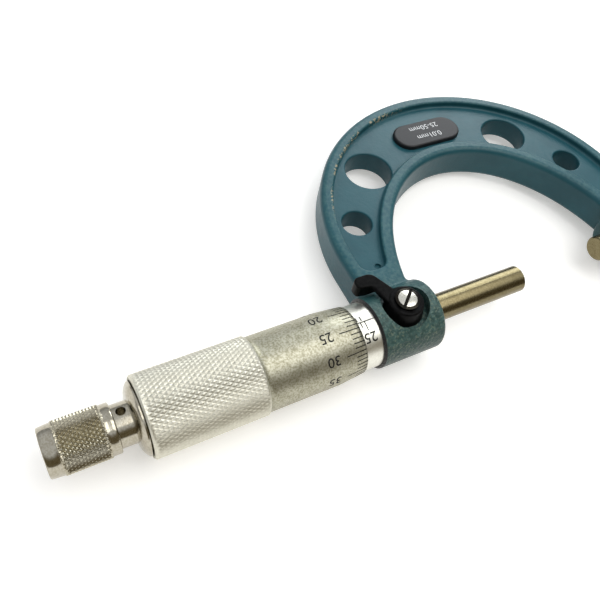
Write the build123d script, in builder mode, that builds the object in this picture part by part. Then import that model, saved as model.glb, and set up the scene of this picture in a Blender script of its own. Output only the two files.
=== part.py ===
"""Outside micrometer, 25 to 50 mm, with a ratchet stop and a lever lock.

The origin is the centre of the anvil's measuring face. +X runs along the spindle from the anvil to
the thimble, the bow of the frame lies towards -Y, and +Z leaves the numbered front. Millimetres.
"""
from build123d import *
from math import cos, hypot, radians, sin, sqrt
import os

# Range, reading and screw
range_minimum = 25.0  # the gap between the faces with the screw fully in
travel = 25.0
reading = 26.74
feed = reading - range_minimum  # how far the screw stands out from its inner end

# Fits
slide_fit = 0.03  # radial, ground rod in its bore
drum_fit = 0.08  # radial, thimble over sleeve
screw_fit = 0.05  # radial, screw in its nut
rear_gap = 0.3  # bare ends that face each other

# Measuring rods
rod_radius = 3.25
face_chamfer = 0.35
anvil_reach = 5.5  # stands out of its boss

# Bow of the frame: the throat is set first, and the bow lies round it
frame_thickness = 9.5
throat_half_width = 33.4
throat_depth = 43.2
throat_y = 3.2
arm_width = 12.0
back_width = 22.6
bow_lean = 1.0  # the arm on the anvil's side is wider
boss_stand = 4.1  # boss out of the throat's wall
hub_stand = 2.8  # hub out of the throat's wall
rim_edge_round = 1.5
throat_x = throat_half_width - anvil_reach - boss_stand
bow_half_width = throat_half_width + arm_width
bow_x = throat_x - bow_lean
bow_bottom = throat_y - throat_depth - back_width
bow_top = frame_thickness / 2

# Hub round the spindle and boss round the anvil
hub_wall = 5.0
hub_back_stand = 2.45  # hub out of the bow
hub_round = 1.0
hub_bevel = 0.45
boss_wall = 3.35
boss_back_stand = 1.4  # boss out of the bow
boss_round = 1.0
anvil_backing = 4.0  # metal behind the anvil
joint_round = 1.2  # where the hub and boss meet the bow's faces
hub_radius = rod_radius + hub_wall
hub_start = throat_x + throat_half_width - hub_stand
hub_end = bow_x + bow_half_width + hub_back_stand
boss_radius = rod_radius + boss_wall
boss_start = -anvil_reach
boss_end = bow_x - bow_half_width - boss_back_stand
anvil_back = boss_end + anvil_backing

# Recessed web between the rims
web_thickness = 6.0
outer_rim_width = 3.2
inner_rim_width = 3.5
recess_gap = 4.25  # web's end to the hub
arm_straight = 4.7  # straight side of the bow beside the web's end
recess_corner_margin = 0.05
recess_round = 0.6
rim_crest_round = 0.5
web_top = web_thickness / 2
recess_depth = (frame_thickness - web_thickness) / 2
recess_end_y = -hub_radius - recess_gap
bow_y = recess_end_y - arm_straight
bow_depth = bow_y - bow_bottom
arm_web = arm_width - outer_rim_width - inner_rim_width
back_web = back_width - outer_rim_width - inner_rim_width
recess_corner_radius = arm_web / 2 - recess_corner_margin
web_half_width = throat_half_width + inner_rim_width
web_depth = throat_depth + inner_rim_width

# Lightening holes, one of each on either side of the middle, at angles below the spindle's axis
hole_middle_x = throat_x - 0.2
large_hole_angle = 63.54
large_hole_rim_gap = 0.44  # to the inner rim
large_hole_margin = 1.7
small_hole_angle = 41.66
small_hole_rim_gap = 1.95
small_hole_margin = 1.48
hole_edge_round = 0.4
dimple_radius = 0.85
dimple_depth = 0.6
dimple_reach = 5.6  # past the hub's front end
dimple_gap = 1.4  # past the web's end
large_hole_radius = back_web / 2 - large_hole_margin
small_hole_radius = (arm_web + back_web) / 4 - small_hole_margin
dimple_x = hub_start + dimple_reach
dimple_y = recess_end_y - dimple_gap

# Lock on the hub
lock_offset = 0.125  # from the hub's middle towards the throat
pocket_radius = 5.6
pocket_wall = 2.05  # pocket's floor to the spindle's bore
lock_hole_radius = 2.25
lock_pitch = 0.5
lock_swing = 58.0  # degrees, from open to clamped
pad_gap = 0.11  # pad to spindle with the lock open
pad_fit = 0.10
pad_wall = 0.94  # above the spindle's bore
stem_radius = 1.9
stem_step = 0.1  # shoulder above the pocket's floor
stem_cover = 0.8  # stem's end below the drum's top
washer_thickness = 0.2
washer_radius = 4.3
washer_gap = 0.04  # drum to washer with the lock clamped
lock_x = (hub_start + hub_end) / 2 - lock_offset
lock_travel = lock_pitch * lock_swing / 360
pocket_floor = rod_radius + pocket_wall
pad_top = rod_radius + pad_gap + pad_wall
stem_shoulder = pocket_floor + stem_step

# Lever, seen from the front with the pivot as its origin
drum_bottom_radius = 4.6
drum_top_radius = 3.9
drum_round = 0.6
drum_stand = 0.2  # drum above the arm
arm_sink = 0.35  # arm's underside below the hub's crest
arm_thickness = 1.1
arm_root = (0.0, -2.0)
elbow_outside = (3.7, -9.6)
tip_outside = (8.5, -9.6)
tip_inside = (8.5, -6.7)
elbow_inside = (5.2, -6.3)
arm_shoulder = (3.9, -0.8)
arm_corners = (arm_root, elbow_outside, tip_outside, tip_inside, elbow_inside, arm_shoulder)
arm_rounds = ((elbow_outside, 2.4), (tip_outside, 1.4), (tip_inside, 1.1), (elbow_inside, 1.2))
tip_block_corner = (3.6, -6.4)
tip_gap = 0.44  # tip to the hub's flank
lever_round = 0.4
drum_bottom = pocket_floor + washer_thickness + lock_travel + washer_gap
arm_bottom = hub_radius - arm_sink
arm_top = arm_bottom + arm_thickness
drum_top = arm_top + drum_stand
stem_top = drum_top - stem_cover
tip_bottom = sqrt(hub_radius**2 - tip_block_corner[1] ** 2) + tip_gap

# Lock screw
head_radius = 2.75
head_height = 0.55
head_dome = 0.35
slot_width = 0.75
slot_depth = 0.5
slot_angle = 42.0
lock_screw_radius = 1.0
lock_screw_reach = 3.2

# Range plate on the web
plate_length = 20.5
plate_thickness = 1.2
plate_inner_gap = 1.6  # to the inner rim
plate_outer_gap = 5.7  # to the outer rim
plate_round = 0.5
plate_width = back_web - plate_inner_gap - plate_outer_gap
plate_x = hole_middle_x - 0.2
plate_y = throat_y - web_depth - plate_inner_gap - plate_width / 2

# Sleeves
zero_margin = 2.5  # hub to the sleeve's first numbered mark
sleeve_radius = 7.5
sleeve_wall = 1.25
sleeve_tail = 1.85  # plain length past the last mark
sleeve_hole_radius = 0.6
sleeve_hole_setback = 1.0  # from the first mark towards the hub
spigot_wall = 0.95
spigot_gap = 1.35  # spigot to the lock's hole
nut_gap = 0.6
nut_length = 6.4
nut_radius = 6.9
nut_thread_length = 12.0
nut_end_margin = 1.0
nut_taper = 0.3
nut_slot_width = 1.2
nut_slot_depth = 1.2
split_width = 0.6
split_length = 14.0
zero_station = hub_end + zero_margin
sleeve_hole_station = zero_station - sleeve_hole_setback
inner_sleeve_radius = sleeve_radius - sleeve_wall
spigot_radius = rod_radius + spigot_wall
spigot_start = lock_x + lock_hole_radius + spigot_gap
sleeve_end = zero_station + travel + sleeve_tail
nut_start = sleeve_end + nut_gap
nut_end = nut_start + nut_length
inner_sleeve_end = nut_end + nut_end_margin
nut_thread_start = inner_sleeve_end - nut_thread_length

# Thimble
thimble_bore = sleeve_radius + drum_fit
thimble_lip = 0.2  # wall at the bevelled edge
bevel_length = 6.1
thimble_radius = 8.33
shoulder_reach = 23.0  # edge of the bevel to the grip
shoulder_length = 0.4
grip_radius = 8.77
grip_edge = 0.4
end_clearance = 2.76  # bush to the inner sleeve with the screw fully in
bush_length = 9.4
bush_recess = 0.6
thimble_edge = zero_station + feed
shoulder_start = thimble_edge + shoulder_reach
bush_start = inner_sleeve_end + feed + end_clearance
bush_end = bush_start + bush_length
thimble_end = bush_end + bush_recess

# Spindle screw and taper
thread_step = 0.5  # screw's crests above the rod
thread_relief_step = 0.25  # relief groove below the rod
thread_relief_length = 1.2
taper_step = 0.2  # taper's front below the screw's crests
taper_fall = 0.55
taper_length = 7.0
spindle_tail = 1.2
thread_margin = 0.5
thread_radius = rod_radius + thread_step
thread_relief_radius = rod_radius - thread_relief_step
taper_front_radius = thread_radius - taper_step
taper_rear_radius = taper_front_radius - taper_fall
thread_start = nut_thread_start - (travel - feed) - thread_margin
thread_end = bush_start - thread_relief_length
taper_end = bush_start + taper_length
spindle_end = taper_end + spindle_tail
guide_end = thread_start - feed - 0.2

# Ratchet
flange_spigot_radius = 7.0
flange_radius = 7.8
flange_edge = 0.25
flange_depth = 1.55
flange_dome_radius = 4.2
neck_radius = 4.45
neck_length = 3.2
spanner_hole_radius = 1.0
spanner_hole_tilt = 10.7  # degrees from the front towards the bow
journal_radius = 3.0
core_radius = 2.0
core_flat = 1.6
stem_screw_radius = 1.72
stem_screw_length = 9.0
flange_start = thimble_end + rear_gap
neck_start = flange_start + flange_depth
neck_end = neck_start + neck_length

# Ratchet knob
knob_gap = 0.1
collar_radius = 5.2
collar_length = 1.8
knurl_radius = 5.42
knurl_length = 9.3
end_ring_radius = 5.25
end_ring_end_radius = 5.05
end_ring_length = 2.55
knob_web = 3.4
cavity_radius = 4.25
knob_start = neck_end + knob_gap
knurl_start = knob_start + collar_length
knurl_end = knurl_start + knurl_length
knob_end = knurl_end + end_ring_length
web_end = knob_start + knob_web

# Clutch inside the knob, drawn at the crest of a click
tooth_count = 12
tooth_height = 0.4
tooth_gap = 0.05
tooth_inner_radius = 3.1
tooth_outer_radius = 4.0
tooth_share = 0.7  # of the pitch at the outer radius
disc_thickness = 1.4
disc_radius = 4.1
disc_fit = 0.06
spring_wire = 0.6
spring_radius = 3.2
spring_turns = 4
spring_length = 4.6
washer_disc_thickness = 0.4
end_head_radius = 3.6
end_head_height = 1.2
end_slot_width = 0.8
end_slot_depth = 0.6
end_screw_radius = 1.2
end_screw_length = 7.0
disc_face = web_end + 2 * tooth_height + tooth_gap
disc_back = disc_face + disc_thickness
core_end = disc_back + spring_length
washer_back = core_end + washer_disc_thickness


def section(*points):
    """Closed outline through points of station and radius, to be turned about the spindle's axis."""
    with BuildSketch(Plane.XZ) as outline:
        with BuildLine():
            Polyline(*points, close=True)
        make_face()
    return outline.sketch


def ring(start, end, inner, outer):
    """Section of a plain ring from one station to another."""
    return section((start, inner), (end, inner), (end, outer), (start, outer))


def upright(*points):
    """Closed outline through points of radius and height, to be turned about the lock's axis."""
    with BuildSketch(Plane((lock_x, 0, 0), x_dir=(1, 0, 0), z_dir=(0, -1, 0))) as outline:
        with BuildLine():
            Polyline(*points, close=True)
        make_face()
    return outline.sketch


def pin(bottom, top, radius):
    """Section of a plain pin about the lock's axis, from one height to another."""
    return upright((0, bottom), (radius, bottom), (radius, top), (0, top))


lock_axis = Axis((lock_x, 0, 0), (0, 0, 1))


def beside_throat(angle, gap):
    """A point at this angle below the spindle's axis and this far outside the inner rim, from the throat's
    centre: the rim is an ellipse, so its distance comes from the ellipse's polar form."""
    turn = radians(angle)
    rim = web_half_width * web_depth / hypot(web_depth * cos(turn), web_half_width * sin(turn))
    return (rim + gap) * cos(turn), throat_y - (rim + gap) * sin(turn)


def recess_outline(height):
    """The web's outline between the two rims, on a plane at this height."""
    with BuildSketch(Plane.XY.offset(height)) as outline:
        with Locations((bow_x, bow_y)):
            Ellipse(bow_half_width - outer_rim_width, bow_depth - outer_rim_width)
            Rectangle(2 * (bow_half_width - outer_rim_width), bow_depth, align=(Align.CENTER, Align.MIN))
        with Locations((throat_x, throat_y)):
            Ellipse(web_half_width, web_depth, mode=Mode.SUBTRACT)
        with Locations((bow_x, recess_end_y)):
            Rectangle(2 * bow_half_width, 2 * bow_depth, align=(Align.CENTER, Align.MIN), mode=Mode.SUBTRACT)
        fillet(outline.vertices().group_by(Axis.Y)[-1], recess_corner_radius)
    return outline.sketch


def round_body(start, end, radius, rounds, bevels=()):
    """Section of a plain round body, with the size of the round or bevel at each of its ends."""
    with BuildSketch(Plane.XZ) as outline:
        with BuildLine():
            Polyline((start, 0), (end, 0), (end, radius), (start, radius), close=True)
        make_face()
        for station, size in rounds:
            fillet(outline.vertices().sort_by_distance((station, radius))[0], size)
        for station, size in bevels:
            chamfer(outline.vertices().sort_by_distance((station, radius))[0], size)
    return outline.sketch


def joint_edges(piece, radius):
    """The straight edges where a round body of this radius meets the two faces of the bow."""
    fall = sqrt(radius**2 - bow_top**2)
    return piece.edges().filter_by(GeomType.LINE).filter_by(
        lambda edge: abs(edge.center().Y + fall) < 0.01 and abs(abs(edge.center().Z) - bow_top) < 0.01
    )


def add_teeth(face, direction):
    """Saw teeth on a flat ring at this station, pointing along +X or -X, added to the piece in hand."""
    half = tooth_share * radians(360 / tooth_count) * tooth_outer_radius / 2
    for number in range(tooth_count):
        turn = radians(360 / tooth_count * number)
        outward = Vector(0, cos(turn), sin(turn))
        side = Plane(Vector(face, 0, 0) + outward * tooth_inner_radius, x_dir=(1, 0, 0), z_dir=outward)
        with BuildSketch(side) as tooth:
            with BuildLine():
                Polyline((0, -half), (0, half), (direction * tooth_height, direction * half), close=True)
            make_face()
        extrude(tooth.sketch, amount=tooth_outer_radius - tooth_inner_radius)


def arm_outline(corner):
    """The lever's arm and hooked tip in plan at the arm's underside, kept on the tip's side of a corner."""
    with BuildSketch(Plane((lock_x, 0, arm_bottom))) as outline:
        with BuildLine():
            Polyline(*arm_corners, close=True)
        make_face()
        for point, corner_radius in arm_rounds:
            fillet(outline.vertices().sort_by_distance(point)[0], corner_radius)
        with Locations(corner):
            Rectangle(bow_half_width, bow_half_width, align=(Align.MIN, Align.MAX), mode=Mode.INTERSECT)
    return outline.sketch


# Frame: the bow, its recessed web, the hub, the boss and the lock's pocket
with BuildPart() as frame:
    with BuildSketch(Plane.XY.offset(-bow_top)):
        with Locations((bow_x, bow_y)):
            Ellipse(bow_half_width, bow_depth)
            Rectangle(2 * bow_half_width, bow_depth, align=(Align.CENTER, Align.MIN))
        with Locations((throat_x, throat_y)):
            Ellipse(throat_half_width, throat_depth, mode=Mode.SUBTRACT)
        with Locations((bow_x, 0)):
            Rectangle(2 * bow_half_width, 2 * bow_depth, align=(Align.CENTER, Align.MIN), mode=Mode.SUBTRACT)
    extrude(amount=frame_thickness)
    rim_edges = frame.edges().group_by(Axis.Z)[0] + frame.edges().group_by(Axis.Z)[-1]
    fillet(rim_edges.filter_by(lambda edge: edge.center().Y < -1), rim_edge_round)
    for face in (1, -1):
        extrude(recess_outline(face * bow_top), amount=-face * recess_depth, mode=Mode.SUBTRACT)
        crest = frame.edges(Select.LAST).filter_by(lambda edge: abs(abs(edge.center().Z) - bow_top) < 0.01)
        fillet(crest, rim_crest_round)
    web_edges = frame.edges().filter_by(lambda edge: abs(abs(edge.center().Z) - web_top) < 0.01)
    fillet(web_edges, recess_round)
    large_hole_offset, large_hole_y = beside_throat(large_hole_angle, large_hole_rim_gap + large_hole_radius)
    small_hole_offset, small_hole_y = beside_throat(small_hole_angle, small_hole_rim_gap + small_hole_radius)
    with BuildSketch(Plane.XY.offset(-bow_top)):
        for side in (1, -1):
            with Locations((hole_middle_x + side * large_hole_offset, large_hole_y)):
                Circle(large_hole_radius)
            with Locations((hole_middle_x + side * small_hole_offset, small_hole_y)):
                Circle(small_hole_radius)
    extrude(amount=frame_thickness, mode=Mode.SUBTRACT)
    hole_edges = frame.edges().filter_by(GeomType.CIRCLE).filter_by(
        lambda edge: min(abs(edge.radius - large_hole_radius), abs(edge.radius - small_hole_radius)) < 0.001
    )
    fillet(hole_edges, hole_edge_round)
    hub_ends = {"rounds": [(hub_start, hub_round)], "bevels": [(hub_end, hub_bevel)]}
    revolve(round_body(hub_start, hub_end, hub_radius, **hub_ends), axis=Axis.X)
    boss_ends = {"rounds": [(boss_end, boss_round), (boss_start, boss_round)]}
    revolve(round_body(boss_end, boss_start, boss_radius, **boss_ends), axis=Axis.X)
    fillet(joint_edges(frame, hub_radius) + joint_edges(frame, boss_radius), joint_round)
    with BuildSketch(Plane.XY.offset(pocket_floor)):
        with Locations((lock_x, 0)):
            Circle(pocket_radius)
    extrude(amount=hub_radius, mode=Mode.SUBTRACT)
    revolve(ring(hub_start, spigot_start, 0, rod_radius + slide_fit), axis=Axis.X, mode=Mode.SUBTRACT)
    revolve(ring(spigot_start, hub_end, 0, spigot_radius), axis=Axis.X, mode=Mode.SUBTRACT)
    revolve(ring(anvil_back, boss_start, 0, rod_radius), axis=Axis.X, mode=Mode.SUBTRACT)
    with BuildSketch(Plane.XY.offset(pocket_floor)):
        with Locations((lock_x, 0)):
            Circle(lock_hole_radius)
    extrude(amount=-pocket_floor, mode=Mode.SUBTRACT)
    with BuildSketch(Plane.XY.offset(web_top)):
        with Locations((dimple_x, dimple_y)):
            Circle(dimple_radius)
    extrude(amount=-dimple_depth, mode=Mode.SUBTRACT)
frame.part.label = "frame"

# Anvil: a hardened pin with a lapped face
with BuildPart() as anvil:
    revolve(ring(anvil_back, 0, 0, rod_radius), axis=Axis.X)
    chamfer(anvil.edges().filter_by(GeomType.CIRCLE), face_chamfer)
anvil.part.label = "anvil"

# Range plate: an oblong plate that stands on the web
with BuildPart() as range_plate:
    with BuildSketch(Plane.XY.offset(web_top)):
        with Locations((plate_x, plate_y)):
            SlotOverall(plate_length, plate_width)
    extrude(amount=plate_thickness)
    fillet(range_plate.edges().group_by(Axis.Z)[-1], plate_round)
range_plate.part.label = "range_plate"

# Inner sleeve: the spindle's guide in front and its split nut behind
with BuildPart() as inner_sleeve:
    nut_tip_radius = inner_sleeve_radius - nut_taper
    revolve(
        section(
            (spigot_start, 0),
            (spigot_start, spigot_radius),
            (hub_end, spigot_radius),
            (hub_end, inner_sleeve_radius),
            (nut_start, inner_sleeve_radius),
            (inner_sleeve_end, nut_tip_radius),
            (inner_sleeve_end, 0),
        ),
        axis=Axis.X,
    )
    revolve(ring(spigot_start, guide_end, 0, rod_radius + slide_fit), axis=Axis.X, mode=Mode.SUBTRACT)
    relief_bore = thread_radius + 4 * screw_fit
    revolve(ring(guide_end, nut_thread_start, 0, relief_bore), axis=Axis.X, mode=Mode.SUBTRACT)
    nut_thread = ring(nut_thread_start, inner_sleeve_end, 0, thread_radius + screw_fit)
    revolve(nut_thread, axis=Axis.X, mode=Mode.SUBTRACT)
    with BuildSketch(Plane.YZ.offset(inner_sleeve_end)):
        for turn in range(3):
            with Locations(Rotation(0, 0, 120 * turn) * Pos(inner_sleeve_radius, 0, 0)):
                Rectangle(2 * inner_sleeve_radius, split_width)
    extrude(amount=-split_length, mode=Mode.SUBTRACT)
inner_sleeve.part.label = "inner_sleeve"

# Sleeve: the graduated tube, with a spanner hole at its back for setting zero
with BuildPart() as sleeve:
    revolve(ring(hub_end, sleeve_end, inner_sleeve_radius, sleeve_radius), axis=Axis.X)
    with BuildSketch(Plane.XY.offset(-sleeve_radius)):
        with Locations((sleeve_hole_station, 0)):
            Circle(sleeve_hole_radius)
    extrude(amount=sleeve_wall + sleeve_hole_radius, mode=Mode.SUBTRACT)
sleeve.part.label = "sleeve"

# Adjusting nut: closes the split nut on its taper, with two spanner slots
with BuildPart() as adjusting_nut:
    taper_at_end = inner_sleeve_radius - nut_taper * nut_length / (nut_length + nut_end_margin)
    revolve(
        section(
            (nut_start, inner_sleeve_radius),
            (nut_end, taper_at_end),
            (nut_end, nut_radius),
            (nut_start, nut_radius),
        ),
        axis=Axis.X,
    )
    with BuildSketch(Plane.YZ.offset(nut_end)):
        Rectangle(3 * nut_radius, nut_slot_width)
    extrude(amount=-nut_slot_depth, mode=Mode.SUBTRACT)
adjusting_nut.part.label = "adjusting_nut"

# Spindle: ground rod, screw and taper, with a tapped hole for the ratchet's stem
with BuildPart() as spindle:
    revolve(
        section(
            (reading, 0),
            (reading, rod_radius - face_chamfer),
            (reading + face_chamfer, rod_radius),
            (thread_start - thread_relief_length, rod_radius),
            (thread_start - thread_relief_length, thread_relief_radius),
            (thread_start, thread_relief_radius),
            (thread_start, thread_radius),
            (thread_end, thread_radius),
            (thread_end, taper_front_radius - slide_fit),
            (bush_start, taper_front_radius - slide_fit),
            (taper_end, taper_rear_radius - slide_fit),
            (spindle_end, taper_rear_radius - slide_fit),
            (spindle_end, 0),
        ),
        axis=Axis.X,
    )
    tapped_depth = spindle_end - (bush_end - stem_screw_length) + thread_margin
    tapped_hole = ring(spindle_end - tapped_depth, spindle_end, 0, stem_screw_radius + slide_fit)
    revolve(tapped_hole, axis=Axis.X, mode=Mode.SUBTRACT)
spindle.part.label = "spindle"

# Thimble: bevelled drum and grip in one turned piece
with BuildPart() as thimble:
    revolve(
        section(
            (thimble_edge, thimble_bore),
            (thimble_edge, thimble_bore + thimble_lip),
            (thimble_edge + bevel_length, thimble_radius),
            (shoulder_start, thimble_radius),
            (shoulder_start + shoulder_length, grip_radius),
            (thimble_end - grip_edge, grip_radius),
            (thimble_end, grip_radius - grip_edge),
            (thimble_end, thimble_bore),
        ),
        axis=Axis.X,
    )
thimble.part.label = "thimble"

# Thimble bush: carries the thimble on the spindle's taper
with BuildPart() as thimble_bush:
    revolve(
        section(
            (bush_start, taper_front_radius),
            (taper_end, taper_rear_radius),
            (bush_end, taper_rear_radius),
            (bush_end, thimble_bore),
            (bush_start, thimble_bore),
        ),
        axis=Axis.X,
    )
thimble_bush.part.label = "thimble_bush"

# Ratchet body: stem, domed flange, neck with spanner holes, journal and core
with BuildPart() as ratchet_body:
    with BuildSketch(Plane.XZ):
        with BuildLine():
            Polyline(
                (bush_end - stem_screw_length, 0),
                (bush_end - stem_screw_length, stem_screw_radius),
                (bush_end, stem_screw_radius),
                (bush_end, flange_spigot_radius),
                (flange_start, flange_spigot_radius),
                (flange_start, flange_radius),
                (flange_start + flange_edge, flange_radius),
            )
            RadiusArc((flange_start + flange_edge, flange_radius), (neck_start, neck_radius), flange_dome_radius)
            Polyline(
                (neck_start, neck_radius),
                (neck_end, neck_radius),
                (neck_end, journal_radius),
                (web_end, journal_radius),
                (web_end, core_radius),
                (core_end, core_radius),
                (core_end, 0),
                (bush_end - stem_screw_length, 0),
            )
        make_face()
    revolve(axis=Axis.X)
    hole_middle = Plane((neck_start + neck_length / 2, 0, 0), x_dir=(1, 0, 0), z_dir=(0, 0, 1))
    with BuildSketch(hole_middle.rotated((spanner_hole_tilt, 0, 0))):
        Circle(spanner_hole_radius)
    extrude(amount=2 * neck_radius, both=True, mode=Mode.SUBTRACT)
    with BuildSketch(Plane.YZ.offset(web_end)):
        with Locations((0, core_flat + core_radius)):
            Rectangle(4 * core_radius, 2 * core_radius)
    extrude(amount=core_end - web_end, mode=Mode.SUBTRACT)
    tapped_bore = ring(washer_back - end_screw_length, core_end, 0, end_screw_radius)
    revolve(tapped_bore, axis=Axis.X, mode=Mode.SUBTRACT)
ratchet_body.part.label = "ratchet_body"

# Ratchet knob: knurled cap with a toothed web inside
with BuildPart() as ratchet_knob:
    revolve(
        section(
            (knob_start, journal_radius + screw_fit),
            (knob_start, collar_radius),
            (knurl_start, collar_radius),
            (knurl_start, knurl_radius),
            (knurl_end, knurl_radius),
            (knurl_end, end_ring_radius),
            (knob_end, end_ring_end_radius),
            (knob_end, cavity_radius),
            (web_end, cavity_radius),
            (web_end, journal_radius + screw_fit),
        ),
        axis=Axis.X,
    )
    add_teeth(web_end, 1)
ratchet_knob.part.label = "ratchet_knob"

# Ratchet disc: slides on the core's flat and clicks over the knob's teeth
with BuildPart() as ratchet_disc:
    revolve(ring(disc_face, disc_back, 0, disc_radius), axis=Axis.X)
    with BuildSketch(Plane.YZ.offset(disc_face)):
        Circle(core_radius + disc_fit)
        with Locations((0, core_flat + disc_fit + core_radius)):
            Rectangle(4 * core_radius, 2 * core_radius, mode=Mode.SUBTRACT)
    extrude(amount=disc_thickness, mode=Mode.SUBTRACT)
    add_teeth(disc_face, -1)
ratchet_disc.part.label = "ratchet_disc"

# Ratchet spring: a coil between the disc and the washer
with BuildPart() as ratchet_spring:
    coil_height = spring_length - spring_wire
    coil_pitch = coil_height / spring_turns
    coil_start = (disc_back + spring_wire / 2, 0, 0)
    with BuildLine() as coil:
        Helix(coil_pitch, coil_height, spring_radius, center=coil_start, direction=(1, 0, 0))
    with BuildSketch(Plane(coil.line @ 0, z_dir=coil.line % 0)):
        Circle(spring_wire / 2)
    sweep(path=coil.line, is_frenet=True)
ratchet_spring.part.label = "ratchet_spring"

# Ratchet washer: holds the spring on the core's end
with BuildPart() as ratchet_washer:
    revolve(ring(core_end, washer_back, end_screw_radius + screw_fit, disc_radius), axis=Axis.X)
ratchet_washer.part.label = "ratchet_washer"

# Ratchet screw: slotted, in the end of the core
with BuildPart() as ratchet_screw:
    revolve(ring(washer_back, washer_back + end_head_height, 0, end_head_radius), axis=Axis.X)
    revolve(ring(washer_back - end_screw_length, washer_back, 0, end_screw_radius), axis=Axis.X)
    with BuildSketch(Plane.YZ.offset(washer_back + end_head_height)):
        Rectangle(3 * end_head_radius, end_slot_width)
    extrude(amount=-end_slot_depth, mode=Mode.SUBTRACT)
ratchet_screw.part.label = "ratchet_screw"

# Lock pad: brass plug, hollowed to the spindle
with BuildPart() as lock_pad:
    pad_radius = lock_hole_radius - pad_fit
    revolve(pin(0, pad_top, pad_radius), axis=lock_axis)
    hollow = ring(hub_start, hub_end, 0, rod_radius + pad_gap)
    revolve(hollow, axis=Axis.X, mode=Mode.SUBTRACT)
lock_pad.part.label = "lock_pad"

# Lock stem: the clamp screw, with a spigot for the lever
with BuildPart() as lock_stem:
    revolve(
        upright(
            (0, pad_top),
            (lock_hole_radius - screw_fit, pad_top),
            (lock_hole_radius - screw_fit, stem_shoulder),
            (stem_radius, stem_shoulder),
            (stem_radius, stem_top),
            (0, stem_top),
        ),
        axis=lock_axis,
    )
    tapped_end = drum_top - lock_screw_reach
    revolve(pin(tapped_end, stem_top, lock_screw_radius), axis=lock_axis, mode=Mode.SUBTRACT)
lock_stem.part.label = "lock_stem"

# Lock washer: thin spring washer on the pocket's floor
with BuildPart() as lock_washer:
    with BuildSketch(Plane.XY.offset(pocket_floor)):
        with Locations((lock_x, 0)):
            Circle(washer_radius)
            Circle(lock_hole_radius, mode=Mode.SUBTRACT)
    extrude(amount=washer_thickness)
lock_washer.part.label = "lock_washer"

# Lock lever: tapered drum, an arm over the frame and a deeper thumb tip at its end
with BuildPart() as lock_lever:
    extrude(arm_outline((-drum_bottom_radius, 0)), amount=arm_top - arm_bottom)
    fillet(lock_lever.edges().group_by(Axis.Z)[-1], lever_round)
    extrude(arm_outline(tip_block_corner), amount=tip_bottom - arm_bottom)
    drum_side = ((drum_bottom_radius, drum_bottom), (drum_top_radius, drum_top))
    revolve(upright((0, drum_bottom), *drum_side, (0, drum_top)), axis=lock_axis)
    fillet(lock_lever.edges().group_by(Axis.Z)[-1], drum_round)
    revolve(pin(drum_bottom, stem_top, stem_radius + slide_fit), axis=lock_axis, mode=Mode.SUBTRACT)
    revolve(pin(stem_top, drum_top, lock_screw_radius + screw_fit), axis=lock_axis, mode=Mode.SUBTRACT)
lock_lever.part.label = "lock_lever"

# Lock screw: low domed head with a slot, in the end of the stem
with BuildPart() as lock_screw:
    with BuildSketch(Plane((lock_x, 0, 0), x_dir=(1, 0, 0), z_dir=(0, -1, 0))):
        with BuildLine():
            Polyline((0, drum_top), (head_radius, drum_top), (head_radius, drum_top + head_height))
            ThreePointArc(
                (head_radius, drum_top + head_height),
                (head_radius * 0.6, drum_top + head_height + head_dome * 0.64),
                (0, drum_top + head_height + head_dome),
            )
            Line((0, drum_top + head_height + head_dome), (0, drum_top))
        make_face()
    revolve(axis=lock_axis)
    with BuildSketch(Plane((lock_x, 0, drum_top))):
        Circle(lock_screw_radius)
    extrude(amount=-lock_screw_reach)
    with BuildSketch(Plane((lock_x, 0, drum_top + head_height + head_dome))):
        Rectangle(3 * head_radius, slot_width, rotation=slot_angle)
    extrude(amount=-slot_depth, mode=Mode.SUBTRACT)
lock_screw.part.label = "lock_screw"

pieces = [
    frame,
    anvil,
    range_plate,
    inner_sleeve,
    sleeve,
    adjusting_nut,
    spindle,
    thimble,
    thimble_bush,
    ratchet_body,
    ratchet_knob,
    ratchet_disc,
    ratchet_spring,
    ratchet_washer,
    ratchet_screw,
    lock_pad,
    lock_stem,
    lock_washer,
    lock_lever,
    lock_screw,
]
os.makedirs("parts", exist_ok=True)
for piece in pieces:
    export_step(piece.part, f"parts/{piece.part.label}.step")
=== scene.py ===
# %% [markdown]
# # An outside micrometer, dressed for its portrait
#
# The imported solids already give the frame, the rods, the lock and the ratchet. This lesson adds what a
# lathe and a knurling wheel leave on them, the graduations and figures, the finishes, a floor and light.

import math

import bmesh
import bpy
import numpy as np
from mathutils import Matrix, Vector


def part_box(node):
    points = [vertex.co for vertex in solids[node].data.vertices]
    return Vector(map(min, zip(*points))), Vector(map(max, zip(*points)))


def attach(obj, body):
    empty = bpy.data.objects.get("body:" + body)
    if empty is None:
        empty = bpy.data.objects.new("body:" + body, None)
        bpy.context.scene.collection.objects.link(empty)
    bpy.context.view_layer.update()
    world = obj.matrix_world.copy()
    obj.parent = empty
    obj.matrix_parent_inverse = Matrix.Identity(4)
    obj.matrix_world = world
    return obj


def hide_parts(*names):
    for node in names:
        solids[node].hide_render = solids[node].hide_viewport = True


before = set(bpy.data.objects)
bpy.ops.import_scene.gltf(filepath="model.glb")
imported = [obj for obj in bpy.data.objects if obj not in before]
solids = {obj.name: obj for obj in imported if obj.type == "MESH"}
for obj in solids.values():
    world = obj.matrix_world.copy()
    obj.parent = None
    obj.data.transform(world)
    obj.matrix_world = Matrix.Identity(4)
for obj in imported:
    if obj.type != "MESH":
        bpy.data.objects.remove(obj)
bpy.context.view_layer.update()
mm = 0.001
print("solids:", sorted(solids))

# %% [markdown]
# ## Camera
#
# The photograph looks down on the micrometer from its ratchet end. A camera could be placed by eye and
# nudged, but here its three angles and its place come from fitting the outlines, so the solids fall on
# the picture at once. Three unit vectors (right, up and back) are the columns of its matrix.

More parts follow.
